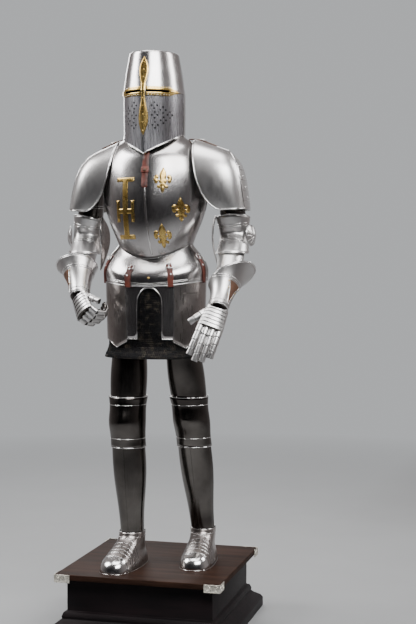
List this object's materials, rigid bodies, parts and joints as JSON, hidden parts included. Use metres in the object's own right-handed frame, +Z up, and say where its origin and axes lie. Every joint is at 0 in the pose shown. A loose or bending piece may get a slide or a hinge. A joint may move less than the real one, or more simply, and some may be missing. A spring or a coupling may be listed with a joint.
{
  "type": "suit of plate armour on a wooden plinth",
  "caption": "Standing suit of polished plate armour with a great helm, brass cross and lilies, mail skirt and gauntlets, on a square stepped wooden plinth with silver corners.",
  "frame": {"origin": "middle of the plinth's underside, on the floor", "axes": "+Z up, the armour faces -Y, +X is the wearer's left"},
  "size_m": [0.7317, 0.616, 2.0313],
  "materials": {
    "brass": "polished yellow brass",
    "leather": "red-brown belt leather, worn at the edges",
    "mail": "dark iron rings, nearly black",
    "wood": "dark mahogany, varnished",
    "silver": "pale silver-plated sheet",
    "steel": "polished sheet steel, slightly smoky"
  },
  "bodies": {
    "root": {"backplate": "steel", "breast_cross": "brass", "breast_lily_1": "brass", "breast_lily_2": "brass", "breast_lily_3": "brass", "breastplate": "steel", "corner_bracket_bl": "silver", "corner_bracket_br": "silver", "corner_bracket_fl": "silver", "corner_bracket_fr": "silver", "couter_l": "steel", "couter_r": "steel", "cuisse_l": "steel", "cuisse_r": "steel", "elbow_leaf_l": "steel", "elbow_leaf_r": "steel", "elbow_rosette_l": "steel", "elbow_rosette_r": "steel", "fauld_back": "steel", "fauld_front": "steel", "gauntlet_cuff_l": "steel", "gauntlet_cuff_r": "steel", "gauntlet_hand_l": "steel", "gauntlet_hand_r": "steel", "greave_l": "steel", "greave_r": "steel", "helm_bar": "brass", "helm_face": "steel", "helm_nape": "steel", "helm_sight_frame_l": "brass", "helm_sight_frame_r": "brass", "helm_skull": "steel", "helm_strap": "leather", "helm_strap_keeper": "leather", "mail_skirt": "mail", "pauldron_side_l": "steel", "pauldron_side_r": "steel", "pauldron_wing_l": "steel", "pauldron_wing_r": "steel", "plinth_box": "wood", "plinth_top": "wood", "poleyn_l": "steel", "poleyn_r": "steel", "rerebrace_l": "steel", "rerebrace_r": "steel", "sabaton_l": "steel", "sabaton_r": "steel", "shoulder_strap_l": "leather", "shoulder_strap_r": "leather", "skirt_arch_plate": "steel", "skirt_back": "steel", "skirt_strap_1": "leather", "skirt_strap_2": "leather", "skirt_strap_3": "leather", "skirt_strap_4": "leather", "tasset_l": "steel", "tasset_r": "steel", "vambrace_l": "steel", "vambrace_r": "steel"}
  },
  "joints": []
}
